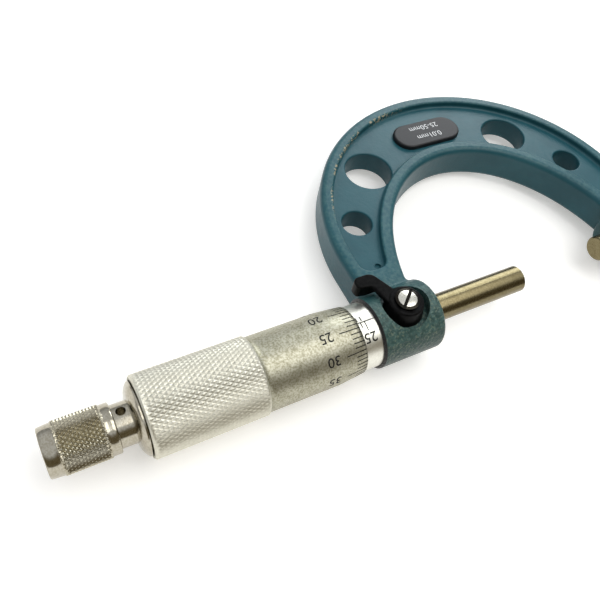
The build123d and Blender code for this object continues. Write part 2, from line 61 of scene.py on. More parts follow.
# %% Camera
picture_width = 600
focal_length = 676.643
sensor_width = 36.0
camera_place = (135.382, 56.718, 125.732)
azimuth, elevation, roll = np.radians((142.167, 54.183, 13.773))
back = np.array([
    math.sin(azimuth) * math.cos(elevation),
    -math.cos(azimuth) * math.cos(elevation),
    math.sin(elevation),
])
level_right = np.cross([0, 0, 1], back)
level_right /= np.linalg.norm(level_right)
level_up = np.cross(back, level_right)
right = math.cos(roll) * level_right + math.sin(roll) * level_up
up = -math.sin(roll) * level_right + math.cos(roll) * level_up

lens = bpy.data.cameras.new("camera")
lens.sensor_width = sensor_width
lens.lens = focal_length / picture_width * sensor_width
lens.clip_start = 0.005
lens.clip_end = 20.0
camera = bpy.data.objects.new("camera", lens)
placed = np.eye(4)
placed[:3, :3] = np.stack([right, up, back], axis=1)
placed[:3, 3] = np.array(camera_place) * mm
camera.matrix_world = Matrix(placed.tolist())
bpy.context.scene.collection.objects.link(camera)
bpy.context.scene.camera = camera
bpy.context.scene.view_settings.view_transform = "Standard"
print("lens in mm:", round(lens.lens, 2))

# %% [markdown]
# ## Helpers for meshes
#
# Almost everything on a micrometer is turned on a lathe, so one helper turns a profile about the X axis
# and another makes a mesh from a grid of points. Both work on whole arrays: a grid of rows and columns
# is one array, and the faces between them come from shifted index arrays.

# %% Grids to meshes


def grid_faces(rows, columns, around, closed=False):
    """Quads between neighbouring rows and columns; around joins the last column to the first,
    closed joins the last row to the first. Corner order makes a grid of increasing X, turned
    from +Y to +Z, face outwards."""
    r = np.arange(rows if closed else rows - 1)
    c = np.arange(columns if around else columns - 1)
    r, c = np.meshgrid(r, c, indexing="ij")
    next_r, next_c = (r + 1) % rows, (c + 1) % columns
    this_row, next_row = r * columns, next_r * columns
    corners = np.stack([this_row + c, this_row + next_c, next_row + next_c, next_row + c], -1)
    return corners.reshape(-1, 4)


def make_piece(name, points, faces, body, material, smooth=True):
    """A mesh object from points in mm and quads, which rides on a body."""
    mesh = bpy.data.meshes.new(name)
    mesh.from_pydata((np.asarray(points).reshape(-1, 3) * mm).tolist(), [], np.asarray(faces).tolist())
    mesh.update()
    mesh.polygons.foreach_set("use_smooth", np.full(len(mesh.polygons), smooth))
    piece = bpy.data.objects.new(name, mesh)
    bpy.context.scene.collection.objects.link(piece)
    piece.data.materials.append(material)
    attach(piece, body)
    print(name, "faces:", len(mesh.polygons))
    return piece


def turned(stations, radii, angles):
    """Points of a surface of revolution: x is the station, y is radius times sine and z is radius
    times cosine of the angle, so angle 0 is the front. radii may differ from angle to angle."""
    stations = np.asarray(stations, float)[:, None] + 0 * angles[None, :]
    radii = np.asarray(radii, float)
    if radii.ndim == 1:
        radii = radii[:, None] + 0 * angles[None, :]
    return np.stack([stations, radii * np.sin(angles), radii * np.cos(angles)], -1)


def along(*corners, step=0.4):
    """Stations and radii along straight runs between corners, no further apart than step."""
    corners = np.array(corners, float)
    lengths = np.linalg.norm(np.diff(corners, axis=0), axis=1)
    counts = np.maximum(np.ceil(lengths / step).astype(int), 1)
    parts = [np.linspace(a, b, n, endpoint=False) for a, b, n in zip(corners[:-1], corners[1:], counts)]
    return np.concatenate(parts + [corners[-1:]])


print("mesh helpers: grid_faces, make_piece, turned, along")

# %% [markdown]
# ## Helpers for finishes
#
# A finish is a small network of shader nodes. Building it by hand in the editor is the usual way; in a
# script one helper adds a node, sets it and plugs it in. An effect that several finishes share becomes
# a node group with named inputs and outputs, so each finish sets its own values.

# %% Nodes and groups


def add_node(tree, kind, inputs=None, **settings):
    """A node of this kind, with its settings, and with each input set to a value or plugged into a socket."""
    made = tree.nodes.new(kind)
    for key, value in settings.items():
        setattr(made, key, value)
    for key, value in (inputs or {}).items():
        if isinstance(value, bpy.types.NodeSocket):
            tree.links.new(value, made.inputs[key])
        else:
            made.inputs[key].default_value = value
    return made


def new_group(name, inputs, outputs):
    """An empty node group with these sockets, as (tree, inner inputs, inner outputs)."""
    tree = bpy.data.node_groups.new(name, "ShaderNodeTree")
    for label, kind, value in inputs:
        socket = tree.interface.new_socket(name=label, in_out="INPUT", socket_type=kind)
        if value is not None:
            socket.default_value = value
    for label, kind in outputs:
        tree.interface.new_socket(name=label, in_out="OUTPUT", socket_type=kind)
    return tree, tree.nodes.new("NodeGroupInput").outputs, tree.nodes.new("NodeGroupOutput").inputs


def add_group(tree, group, inputs):
    """A shared effect placed in a finish, with that finish's own values."""
    made = tree.nodes.new("ShaderNodeGroup")
    made.node_tree = group
    for key, value in inputs.items():
        if isinstance(value, bpy.types.NodeSocket):
            tree.links.new(value, made.inputs[key])
        else:
            made.inputs[key].default_value = value
    return made.outputs


def ramp(tree, value, low, high):
    """0 below low and 1 above high, easing between them."""
    inputs = {0: value, 1: low, 2: high, 3: 0.0, 4: 1.0}
    return add_node(tree, "ShaderNodeMapRange", inputs, interpolation_type="SMOOTHSTEP").outputs[0]


def math_node(tree, operation, *values):
    """One sum on numbers or sockets."""
    return add_node(tree, "ShaderNodeMath", dict(enumerate(values)), operation=operation).outputs[0]


def mix_colour(tree, factor, a, b):
    """Colour a where the factor is 0 and b where it is 1."""
    made = add_node(tree, "ShaderNodeMix", data_type="RGBA")
    for socket, value in ((made.inputs[0], factor), (made.inputs[6], a), (made.inputs[7], b)):
        if isinstance(value, bpy.types.NodeSocket):
            tree.links.new(value, socket)
        elif socket is made.inputs[0]:
            socket.default_value = value
        else:
            socket.default_value = (*value, 1.0)
    return made.outputs[2]


def new_material(name):
    """A material with its shader and the object coordinates in millimetres."""
    material = bpy.data.materials.new(name)
    material.use_nodes = True
    tree = material.node_tree
    tree.nodes.clear()
    shader = tree.nodes.new("ShaderNodeBsdfPrincipled")
    output = tree.nodes.new("ShaderNodeOutputMaterial")
    tree.links.new(shader.outputs[0], output.inputs[0])
    coordinates = tree.nodes.new("ShaderNodeTexCoord").outputs["Object"]
    place = add_node(tree, "ShaderNodeVectorMath", {0: coordinates, 3: 1000.0}, operation="SCALE").outputs[0]
    return material, tree, shader, place


print("node helpers: add_node, new_group, add_group, ramp, math_node, mix_colour, new_material")

# %% [markdown]
# ## Effects that finishes share
#
# Two effects come back in many finishes: soft mottling and small pits. Each could be drawn again in
# every material, but then one change would have to be made many times. As groups they are built once.
# Both take the place in millimetres, so their sizes are real sizes.

# %% Shared effects


def build_mottle():
    """Mottle: noise with features of a size in mm, squeezed along X, then eased between two levels."""
    tree, given, put = new_group(
        "mottle",
        [
            ("Place", "NodeSocketVector", None),
            ("Size", "NodeSocketFloat", 1.0),
            ("Stretch", "NodeSocketFloat", 1.0),
            ("Low", "NodeSocketFloat", 0.3),
            ("High", "NodeSocketFloat", 0.7),
        ],
        [("Value", "NodeSocketFloat"), ("Mask", "NodeSocketFloat")],
    )
    parts = add_node(tree, "ShaderNodeSeparateXYZ", {0: given["Place"]}).outputs
    squeezed = math_node(tree, "MULTIPLY", parts[0], given["Stretch"])
    place = add_node(tree, "ShaderNodeCombineXYZ", {0: squeezed, 1: parts[1], 2: parts[2]}).outputs[0]
    scale = math_node(tree, "DIVIDE", 1.0, given["Size"])
    inputs = {"Vector": place, "Scale": scale, "Detail": 3.0, "Roughness": 0.55}
    noise = add_node(tree, "ShaderNodeTexNoise", inputs).outputs[0]
    tree.links.new(noise, put["Value"])
    tree.links.new(ramp(tree, noise, given["Low"], given["High"]), put["Mask"])
    return tree


def build_pits():
    """Pits: spots in the cells of a Voronoi pattern, kept in a share of them; 1 in the middle of a pit."""
    tree, given, put = new_group(
        "pits",
        [
            ("Place", "NodeSocketVector", None),
            ("Spacing", "NodeSocketFloat", 1.0),
            ("Radius", "NodeSocketFloat", 0.1),
            ("Share", "NodeSocketFloat", 0.3),
        ],
        [("Mask", "NodeSocketFloat")],
    )
    scale = math_node(tree, "DIVIDE", 1.0, given["Spacing"])
    cells = add_node(tree, "ShaderNodeTexVoronoi", {"Vector": given["Place"], "Scale": scale})
    reach = math_node(tree, "MULTIPLY", cells.outputs["Distance"], given["Spacing"])
    inside = math_node(tree, "SUBTRACT", given["Radius"], reach)
    spot = math_node(tree, "DIVIDE", inside, given["Radius"])
    spot = add_node(tree, "ShaderNodeClamp", {0: spot}).outputs[0]
    lottery = add_node(tree, "ShaderNodeSeparateColor", {0: cells.outputs["Color"]}).outputs[0]
    kept = math_node(tree, "LESS_THAN", lottery, given["Share"])
    tree.links.new(math_node(tree, "MULTIPLY", spot, kept), put["Mask"])
    return tree


mottle = build_mottle()
pits = build_pits()
print("groups:", [g.name for g in bpy.data.node_groups])

# %% [markdown]
# ## Plated and ground steel
#
# The tool has several steels: satin plating on the thimble and sleeve, bright plating on the ratchet,
# ground steel on the rods. They differ in tint, gloss and marks, so one function makes them all. The
# marks are turning lines (noise squeezed along X), blotches and specks, and small dark pits from use.
# The lock's screw is black below a height, which darkens the slot in its head.

# %% Steel


def steel(name, tint, dull, rough, lines=0.0, blotch=0.2, pit_share=0.0, bump=0.02, black_below=None):
    """Metal whose colour goes from tint to dull in specks and blotches, with turning lines, pits, and
    black where Z is below a height."""
    material, tree, shader, place = new_material(name)
    cloud = add_group(tree, mottle, {"Place": place, "Size": 2.6, "Low": 0.35, "High": 0.68})
    turning = add_group(tree, mottle, {"Place": place, "Size": 3.0, "Stretch": 60.0})
    fine = add_group(tree, mottle, {"Place": place, "Size": 0.42, "Low": 0.40, "High": 0.62})
    pit = add_group(tree, pits, {"Place": place, "Spacing": 0.9, "Radius": 0.13, "Share": pit_share})["Mask"]
    worn = math_node(tree, "MULTIPLY", cloud["Mask"], blotch * 0.5)
    grey = math_node(tree, "MULTIPLY", fine["Mask"], blotch)
    share = add_node(tree, "ShaderNodeClamp", {0: math_node(tree, "ADD", worn, grey)}).outputs[0]
    colour = mix_colour(tree, share, tint, dull)
    colour = mix_colour(tree, pit, colour, (0.05, 0.045, 0.04))
    # Black below a height, which darkens the screw's slot.
    if black_below is not None:
        level = add_node(tree, "ShaderNodeSeparateXYZ", {0: place}).outputs[2]
        low_part = math_node(tree, "LESS_THAN", level, black_below)
        colour = mix_colour(tree, low_part, colour, (0.02, 0.018, 0.014))
    tree.links.new(colour, shader.inputs["Base Color"])
    spread = math_node(tree, "MULTIPLY_ADD", turning["Value"], 0.12 + lines, rough - 0.06 - lines / 2)
    spread = math_node(tree, "MULTIPLY_ADD", fine["Value"], 0.1, spread)
    tree.links.new(spread, shader.inputs["Roughness"])
    height = math_node(tree, "MULTIPLY_ADD", turning["Value"], lines, fine["Value"])
    height = math_node(tree, "SUBTRACT", height, pit)
    bumped = add_node(tree, "ShaderNodeBump", {"Strength": 1.0, "Distance": bump * mm, "Height": height})
    tree.links.new(bumped.outputs[0], shader.inputs["Normal"])
    shader.inputs["Metallic"].default_value = 1.0
    return material


screw_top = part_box("lock_screw")[1].z / mm
slot_depth_seen = 0.2
satin_steel = steel(
    "satin_steel", (0.51, 0.495, 0.395), (0.25, 0.235, 0.155), 0.40, blotch=0.6, pit_share=0.3
)
sleeve_steel = steel(
    "sleeve_steel", (0.84, 0.83, 0.75), (0.66, 0.65, 0.56), 0.34, blotch=0.35, pit_share=0.1, bump=0.006
)
grip_steel = steel(
    "grip_steel", (0.73, 0.71, 0.61), (0.57, 0.55, 0.45), 0.42, blotch=0.4, pit_share=0.10, bump=0.01
)
ground_steel = steel(
    "ground_steel", (0.20, 0.17, 0.095), (0.13, 0.105, 0.05), 0.20, lines=0.04, blotch=0.5, bump=0.002
)
bright_nickel = steel(
    "bright_nickel", (0.48, 0.45, 0.37), (0.28, 0.245, 0.17), 0.12, blotch=0.4, bump=0.002
)
screw_nickel = steel(
    "screw_nickel", (0.68, 0.66, 0.58), (0.50, 0.47, 0.38), 0.16, blotch=0.3, bump=0.002,
    black_below=screw_top - slot_depth_seen,
)
knurled_nickel = steel(
    "knurled_nickel", (0.51, 0.475, 0.37), (0.28, 0.25, 0.175), 0.20, blotch=0.5, bump=0.004
)
turned_steel = steel("turned_steel", (0.34, 0.335, 0.32), (0.22, 0.21, 0.19), 0.32, lines=0.4)
brass = steel("brass", (0.62, 0.44, 0.20), (0.45, 0.30, 0.13), 0.28, lines=0.3)
print("metals:", [m.name for m in bpy.data.materials])

# %% [markdown]
# ## Enamel on cast iron
#
# The frame is cast iron under a petrol stove enamel: smooth on the web, like hammered metal on the
# hub, and chipped to pale primer on one stretch of the rim. Painted light lies in its colour too: a
# greener tone on the hub for warm light from the table, pale painted glints on the hub's front, and
# painted highlights on the crests of the rims. A picture could be painted for it; instead each effect
# is a mask worked out from the place in millimetres.

# %% Enamel
bow_centre = (22.8, -17.2, 0.0)
recess_edge_reach = 42.1
hub_dark_from = 70.15


def enamel():
    """Blue-green coat, with a hammered hub and a black end on it, a greener tone on the hub for painted
    warm light, painted glints on the hub's front and painted highlights on the rims' crests. Chips lie
    where the distance from the bow's centre is near the recess's edge, only on the bow's far part on the
    hub's side."""
    material, tree, shader, place = new_material("petrol_enamel")
    parts = add_node(tree, "ShaderNodeSeparateXYZ", {0: place}).outputs
    cloud = add_group(tree, mottle, {"Place": place, "Size": 9.0, "Low": 0.3, "High": 0.7})
    grain = add_group(tree, mottle, {"Place": place, "Size": 0.9, "Low": 0.35, "High": 0.7})
    colour = mix_colour(tree, cloud["Mask"], (0.011, 0.074, 0.094), (0.018, 0.094, 0.116))
    near_hub = ramp(tree, parts[1], -12.0, 2.0)
    # Painted warm light: the hub is tinted greener, as light bounced from the table shows on it.
    colour = mix_colour(tree, near_hub, colour, (0.024, 0.062, 0.055))
    hammered = math_node(tree, "MULTIPLY", near_hub, grain["Mask"])
    colour = mix_colour(tree, math_node(tree, "MULTIPLY", hammered, 0.35), colour, (0.07, 0.13, 0.10))
    # Painted glints: pale flecks on the hub's front, where light catches its hammered coat.
    front_glints = add_group(tree, mottle, {"Place": place, "Size": 0.6, "Low": 0.52, "High": 0.64})["Mask"]
    front_glints = math_node(tree, "MULTIPLY", front_glints, ramp(tree, parts[1], -4.0, 2.5))
    colour = mix_colour(tree, math_node(tree, "MULTIPLY", front_glints, 0.40), colour, (0.22, 0.27, 0.19))
    # Painted highlight: the crests of the upper rims are paler, as light from above shows on them.
    crest_highlight = math_node(tree, "MULTIPLY", ramp(tree, parts[2], 4.2, 4.7), grain["Mask"])
    colour = mix_colour(tree, math_node(tree, "MULTIPLY", crest_highlight, 0.35), colour, (0.09, 0.19, 0.18))

    away = add_node(tree, "ShaderNodeVectorMath", {0: place, 1: bow_centre}, operation="SUBTRACT").outputs[0]
    level = {0: away, 1: (1.0, 1.0, 0.0)}
    flat = add_node(tree, "ShaderNodeVectorMath", level, operation="MULTIPLY").outputs[0]
    reach = add_node(tree, "ShaderNodeVectorMath", {0: flat}, operation="LENGTH").outputs["Value"]
    off_edge = math_node(tree, "ABSOLUTE", math_node(tree, "SUBTRACT", reach, recess_edge_reach))
    near_edge = math_node(tree, "SUBTRACT", 1.0, ramp(tree, off_edge, 0.3, 0.9))
    flakes = add_group(tree, mottle, {"Place": place, "Size": 0.7, "Low": 0.50, "High": 0.56})["Mask"]
    patches = add_group(tree, mottle, {"Place": place, "Size": 9.0, "Low": 0.44, "High": 0.52})["Mask"]
    chip = math_node(tree, "MULTIPLY", math_node(tree, "MULTIPLY", near_edge, flakes), patches)
    chip = math_node(tree, "MULTIPLY", chip, ramp(tree, parts[2], 3.0, 4.0))
    chip = math_node(tree, "MULTIPLY", chip, ramp(tree, parts[0], 22.0, 38.0))
    far_part = math_node(tree, "SUBTRACT", 1.0, ramp(tree, parts[1], -36.0, -28.0))
    chip = math_node(tree, "MULTIPLY", chip, far_part)
    colour = mix_colour(tree, chip, colour, (0.50, 0.45, 0.30))
    # The hub is black beyond this station.
    dark_end = ramp(tree, parts[0], hub_dark_from, hub_dark_from + 0.1)
    colour = mix_colour(tree, dark_end, colour, (0.012, 0.012, 0.012))
    tree.links.new(colour, shader.inputs["Base Color"])

    rough = math_node(tree, "MULTIPLY_ADD", grain["Value"], 0.16, 0.30)
    tree.links.new(rough, shader.inputs["Roughness"])
    shader.inputs["Specular IOR Level"].default_value = 0.3
    depth = math_node(tree, "MULTIPLY_ADD", near_hub, 0.9, 0.12)
    height = math_node(tree, "MULTIPLY", grain["Value"], depth)
    height = math_node(tree, "SUBTRACT", height, math_node(tree, "MULTIPLY", chip, 0.4))
    bumped = add_node(tree, "ShaderNodeBump", {"Strength": 1.0, "Distance": 0.35 * mm, "Height": height})
    tree.links.new(bumped.outputs[0], shader.inputs["Normal"])
    return material


petrol_enamel = enamel()
print("enamel:", petrol_enamel.name)

# %% [markdown]
# ## Black and printed finishes
#
# The lever, the plate, the ink in the graduations and the plate's letters are plain finishes. One colour
# and one gloss would do from afar, but a faint mottle keeps them from looking like plastic toys. The
# lever and the plate are duller than their smoothness suggests, so their specular level is low.

# %% Plain finishes


def plain(name, colour, rough, speck=0.1, gleam=0.5):
    """A dark moulded or painted finish with a faint mottle in its colour and gloss."""
    material, tree, shader, place = new_material(name)
    cloud = add_group(tree, mottle, {"Place": place, "Size": 0.8, "Low": 0.3, "High": 0.7})
    lighter = tuple(min(1.0, c * (1 + speck) + 0.004) for c in colour)
    tree.links.new(mix_colour(tree, cloud["Mask"], colour, lighter), shader.inputs["Base Color"])
    spread = math_node(tree, "MULTIPLY_ADD", cloud["Value"], 0.12, rough - 0.06)
    tree.links.new(spread, shader.inputs["Roughness"])
    relief = {"Strength": 0.5, "Distance": 0.01 * mm, "Height": cloud["Value"]}
    bumped = add_node(tree, "ShaderNodeBump", relief)
    tree.links.new(bumped.outputs[0], shader.inputs["Normal"])
    shader.inputs["Specular IOR Level"].default_value = gleam
    return material


lever_black = plain("lever_black", (0.002, 0.002, 0.002), 0.36, gleam=0.06)
plate_black = plain("plate_black", (0.008, 0.008, 0.009), 0.42, gleam=0.3)
ink = plain("ink", (0.015, 0.015, 0.014), 0.6, gleam=0.2)
lettering = plain("lettering", (0.72, 0.74, 0.74), 0.5)
print("plain finishes: lever_black, plate_black, ink, lettering")

# %% [markdown]
# ## Dressing the solids
#
# Eighteen of the twenty solids are kept as they are and only get a finish. The other two, the thimble and
# the knob, are turned anew below with their knurls. The hidden pieces get a finish as well, since a
# reader may take the tool apart.

# %% Finishes on the solids
finishes = {
    petrol_enamel: ["frame"],
    ground_steel: ["anvil", "spindle"],
    plate_black: ["range_plate"],
    sleeve_steel: ["sleeve"],
    bright_nickel: ["ratchet_body"],
    screw_nickel: ["lock_screw"],
    lever_black: ["lock_lever"],
    brass: ["thimble_bush", "lock_pad"],
    turned_steel: [
        "inner_sleeve", "adjusting_nut", "ratchet_disc", "ratchet_spring", "ratchet_washer", "ratchet_screw",
        "lock_stem", "lock_washer",
    ],
}
for finish, node_names in finishes.items():
    for node_name in node_names:
        solids[node_name].data.materials.clear()
        solids[node_name].data.materials.append(finish)
print("finished nodes:", sum(len(node_names) for node_names in finishes.values()))

# %% [markdown]
# ## Thimble
#
# The thimble is one turned piece: a bevelled edge, a plain drum and a knurled grip. A normal map could
# fake the knurl, but its outline would stay smooth, so here it is cut into the surface. Two families of
# V grooves wind round the grip in opposite ways and leave rows of blunt pyramids between them. The
# grid has eight steps to a groove, so that every groove, ridge and flat falls on an edge of the mesh.

# %% Knurl


def knurl(stations, angles, count, pitch, depth, flat=0.75):
    """Depth of a diamond knurl below the crest. The two phases are count turns of the angle plus or
    minus the station over the pitch; each gives a triangle wave, and the lower of the two waves,
    cut off at flat, is the height of the pyramid."""
    turn = count * angles[None, :] / (2 * np.pi)
    shift = (stations[:, None] - stations[0]) / pitch
    waves = [1 - np.abs(2 * ((turn + sign * shift) % 1.0) - 1) for sign in (1, -1)]
    height = np.minimum(np.minimum(*waves), flat) / flat
    return depth * (1 - height)


print("knurl: a function of stations and angles")

# %% [markdown]
# ## The thimble's profile
#
# The outline is a list of corners along the axis, and the knurled stretch in it has a fine grid. Its
# ends are found on the solid, so the turned piece fills the same place. The groove fades out at the
# grip's ends, as it does where a knurling wheel runs in and out.

# %% Profile of the thimble
edge_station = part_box("thimble")[0].x / mm
end_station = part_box("thimble")[1].x / mm
bore_radius, edge_radius, drum_radius, grip_radius = 7.58, 7.78, 8.33, 8.77
cone_end = edge_station + 6.1
shoulder = edge_station + 23.0
knurl_steps = 8
grip_count, grip_pitch = 53, 1.8
grip_angles = np.arange(grip_count * knurl_steps) * 2 * np.pi / (grip_count * knurl_steps)
grip_stations = np.arange(shoulder + 0.4, end_station - 0.4, grip_pitch / knurl_steps)

front = along(
    (edge_station, bore_radius), (edge_station, edge_radius), (cone_end, drum_radius),
    (shoulder, drum_radius), (shoulder + 0.35, grip_radius), step=1.2,
)
rear = along(
    (end_station - 0.35, grip_radius), (end_station, grip_radius - 0.35), (end_station, bore_radius), step=1.2
)
inside = along((end_station, bore_radius), (edge_station, bore_radius), step=4.0)[1:-1]
grip_depth = 0.16
cut = knurl(grip_stations, grip_angles, grip_count, grip_pitch, grip_depth)
fade = np.clip(np.minimum(grip_stations - grip_stations[0], grip_stations[-1] - grip_stations) / 0.3, 0.2, 1)
thimble_points = np.concatenate([
    turned(front[:, 0], front[:, 1], grip_angles),
    turned(grip_stations, grip_radius - cut * fade[:, None], grip_angles),
    turned(rear[:, 0], rear[:, 1], grip_angles),
    turned(inside[:, 0], inside[:, 1], grip_angles),
])
print("thimble grid:", thimble_points.shape, "knurl depth in mm:", round(float(cut.max()), 3))

# %% [markdown]
# ## Faces of a knurled piece
#
# A square of the grid that a groove crosses from corner to corner has to be split along that groove, or
# the groove would be filled by a fold. Splitting everything one way would spoil half of the grooves, so
# the split follows the pattern. The facets stay flat, since real diamonds have flat sides.

# %% Faces, and the thimble


def split_faces(rows, columns, first_row):
    """Quads of a closed turned grid as triangles. A quad is cut along the groove that crosses it: rows
    and columns count from the first groove, and a sum of one less than a multiple of half a groove's
    steps means that the groove of the second family passes, so that the other diagonal is taken."""
    quads = grid_faces(rows, columns, True, closed=True)[:, ::-1]
    row, column = np.divmod(np.arange(len(quads)), columns)
    falling = ((row - first_row + column + 1) % (knurl_steps // 2) == 0)[:, None]
    first = np.where(falling, quads[:, [0, 1, 3]], quads[:, [0, 1, 2]])
    second = np.where(falling, quads[:, [1, 2, 3]], quads[:, [0, 2, 3]])
    return np.concatenate([first, second])


def dress_knurl(piece, first, last, least_radius, material):
    """The knurled band between two stations gets its own material and flat, crisp facets."""
    piece.data.materials.append(material)
    middles = np.zeros(len(piece.data.polygons) * 3)
    piece.data.polygons.foreach_get("center", middles)
    middles = middles.reshape(-1, 3) / mm
    reach = np.hypot(middles[:, 1], middles[:, 2])
    on_band = (middles[:, 0] > first) & (middles[:, 0] < last) & (reach > least_radius)
    piece.data.polygons.foreach_set("material_index", on_band.astype(np.int32))
    piece.data.polygons.foreach_set("use_smooth", ~on_band)


thimble = make_piece(
    "thimble_turned", thimble_points, split_faces(len(thimble_points), len(grip_angles), len(front)),
    "thimble_body", satin_steel,
)
dress_knurl(thimble, shoulder + 0.1, end_station - 0.01, grip_radius - 0.5, grip_steel)
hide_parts("thimble")

# %% [markdown]
# ## Graduations
#
# Each line is a shallow groove filled with black. It could be drawn on with a texture, but at this size
# a clean edge needs geometry: every line is a thin bar that hugs its surface, standing a hundredth of a
# millimetre proud. All the bars of one scale are one mesh.

# %% Bars along and around


def scale_bars(lines, radius_at, half_width=0.09, proud=0.012, buried=0.03, steps=7):
    """Closed bars for lines of (angle, start, end). Each bar is a tube of four corners: to either side
    by the half width over the radius, and just above and just under the surface."""
    lines = np.array(lines, float)
    share = np.linspace(0, 1, steps)
    stations = lines[:, 1, None] + (lines[:, 2] - lines[:, 1])[:, None] * share
    radius = radius_at(stations)
    corners = []
    for side, lift in ((-1, proud), (1, proud), (1, -buried), (-1, -buried)):
        angle = lines[:, 0, None] + side * half_width / radius
        reach = radius + lift
        corners.append(np.stack([stations, reach * np.sin(angle), reach * np.cos(angle)], -1))
    points = np.stack(corners, 2)
    one = grid_faces(steps, 4, True)
    ends = np.array([[3, 2, 1, 0], [4 * steps - 4, 4 * steps - 3, 4 * steps - 2, 4 * steps - 1]])
    one = np.concatenate([one[:, ::-1], ends[:, ::-1]])
    faces = one[None] + (np.arange(len(lines)) * steps * 4)[:, None, None]
    return points, faces.reshape(-1, 4)


print("scale_bars: a function of lines and a radius")

# %% [markdown]
# ## The thimble's scale
#
# The thimble has fifty lines, 7.2 degrees apart, and every fifth is longer. In the photograph line 24
# stands at the sleeve's datum line, so the angles count from there.

# %% Thimble scale
datum_angle = math.radians(3.33)
division = math.radians(7.2)
reading_line = 24


def thimble_radius(station):
    """Bevel first, then the drum."""
    return np.interp(station, (edge_station, cone_end), (edge_radius, drum_radius))


long_line, short_line = 5.1, 2.7
thimble_lines = [
    (
        datum_angle + division * (k - reading_line),
        edge_station + 0.02,
        edge_station + (long_line if k % 5 == 0 else short_line),
    )
    for k in range(50)
]
points, faces = scale_bars(thimble_lines, thimble_radius, half_width=0.115)
make_piece("thimble_scale", points, faces, "thimble_body", ink, smooth=False)

# %% [markdown]
# ## The sleeve's scale
#
# The sleeve has one datum line along it, a mark for every whole millimetre on one side and one for every
# half on the other. They run round the sleeve, so their bars do too.

# %% Sleeve scale
zero = 73.15
sleeve_radius = 7.5
sleeve_start, sleeve_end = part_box("sleeve")[0].x / mm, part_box("sleeve")[1].x / mm


def sleeve_radius_at(station):
    """The sleeve is a plain cylinder."""
    return sleeve_radius + 0 * station


datum = [(datum_angle, sleeve_start + 0.02, sleeve_end - 0.3)]
points, faces = scale_bars(datum, sleeve_radius_at, half_width=0.11, steps=3)
make_piece("sleeve_datum", points, faces, "frame_body", ink, smooth=False)


def cross_bars(marks, radius, half_width=0.12, proud=0.012, buried=0.03, steps=9):
    """Closed bars round a cylinder for marks of (station, first angle, last angle), as scale_bars but
    with the tube running round instead of along."""
    marks = np.array(marks, float)
    angle = marks[:, 1, None] + (marks[:, 2] - marks[:, 1])[:, None] * np.linspace(0, 1, steps)
    corners = []
    for side, lift in ((-1, proud), (1, proud), (1, -buried), (-1, -buried)):
        station = marks[:, 0, None] + side * half_width + 0 * angle
        reach = radius + lift
        corners.append(np.stack([station, reach * np.sin(angle), reach * np.cos(angle)], -1))
    points = np.stack(corners, 2)
    one = grid_faces(steps, 4, True)
    ends = np.array([[3, 2, 1, 0], [4 * steps - 4, 4 * steps - 3, 4 * steps - 2, 4 * steps - 1]])
    one = np.concatenate([one, ends])
    faces = one[None] + (np.arange(len(marks)) * steps * 4)[:, None, None]
    return points, faces.reshape(-1, 4)


long_mark, short_mark, half_start, half_end = 2.2, 1.25, 0.35, 1.45
whole = [
    (zero + n, datum_angle, datum_angle + (long_mark if n % 5 == 0 else short_mark) / sleeve_radius)
    for n in range(26)
]
half = [
    (zero + n + 0.5, datum_angle - half_start / sleeve_radius, datum_angle - half_end / sleeve_radius)
    for n in range(25)
]
points, faces = cross_bars(whole, sleeve_radius)
make_piece("sleeve_whole_marks", points, faces, "frame_body", ink, smooth=False)
points, faces = cross_bars(half, sleeve_radius)
make_piece("sleeve_half_marks", points, faces[:, ::-1], "frame_body", ink, smooth=False)

# %% [markdown]
# ## Figures
#
# The figures start as flat text, because the font already has their shapes. The text becomes a mesh, is
# sliced into narrow strips so that it can bend, and is wrapped: the text's width runs along the axis
# and its height becomes an angle.

# %% Wrapped text


def flat_text(words, height, thin=0.0, thickness=0.03, slice_every=0.25):
    """Mesh points and faces of a line of text in mm, centred on its middle, sliced across its height.
    The outline shrinks by thin, so the letters are bolder where it is below 0."""
    curve = bpy.data.curves.new("words", "FONT")
    curve.body = words
    curve.size = height / 0.73
    curve.offset = -thin
    curve.extrude = thickness / 2
    curve.resolution_u = 4
    curve.align_x, curve.align_y = "CENTER", "CENTER"
    holder = bpy.data.objects.new("words", curve)
    bpy.context.scene.collection.objects.link(holder)
    bpy.context.view_layer.update()
    mesh = bpy.data.meshes.new_from_object(holder.evaluated_get(bpy.context.evaluated_depsgraph_get()))
    bpy.data.objects.remove(holder)
    bpy.data.curves.remove(curve)
    shape = bmesh.new()
    shape.from_mesh(mesh)
    bmesh.ops.remove_doubles(shape, verts=shape.verts, dist=1e-4)
    for level in np.arange(-height, height, slice_every):
        everything = list(shape.verts) + list(shape.edges) + list(shape.faces)
        bmesh.ops.bisect_plane(shape, geom=everything, plane_co=(0, level, 0), plane_no=(0, 1, 0))
    bmesh.ops.triangulate(shape, faces=list(shape.faces))
    shape.to_mesh(mesh)
    shape.free()
    points = np.zeros(len(mesh.vertices) * 3)
    mesh.vertices.foreach_get("co", points)
    corners = np.zeros(len(mesh.loops), np.int32)
    mesh.loops.foreach_get("vertex_index", corners)
    bpy.data.meshes.remove(mesh)
    points = points.reshape(-1, 3)
    middle = (points.min(0) + points.max(0)) / 2
    return points - middle, corners.reshape(-1, 3)


def wrapped_text(entries, height, radius, thin=0.0):
    """Texts of (words, middle station, middle angle) wrapped on a cylinder: x is the station plus the
    text's x, and the angle is the middle angle plus the text's y over the radius."""
    all_points, all_faces, count = [], [], 0
    for words, station, angle in entries:
        flat, faces = flat_text(words, height, thin)
        turn = angle + flat[:, 1] / radius
        reach = radius + flat[:, 2]
        all_points.append(np.stack([station + flat[:, 0], reach * np.sin(turn), reach * np.cos(turn)], -1))
        all_faces.append(faces + count)
        count += len(flat)
    return np.concatenate(all_points), np.concatenate(all_faces)


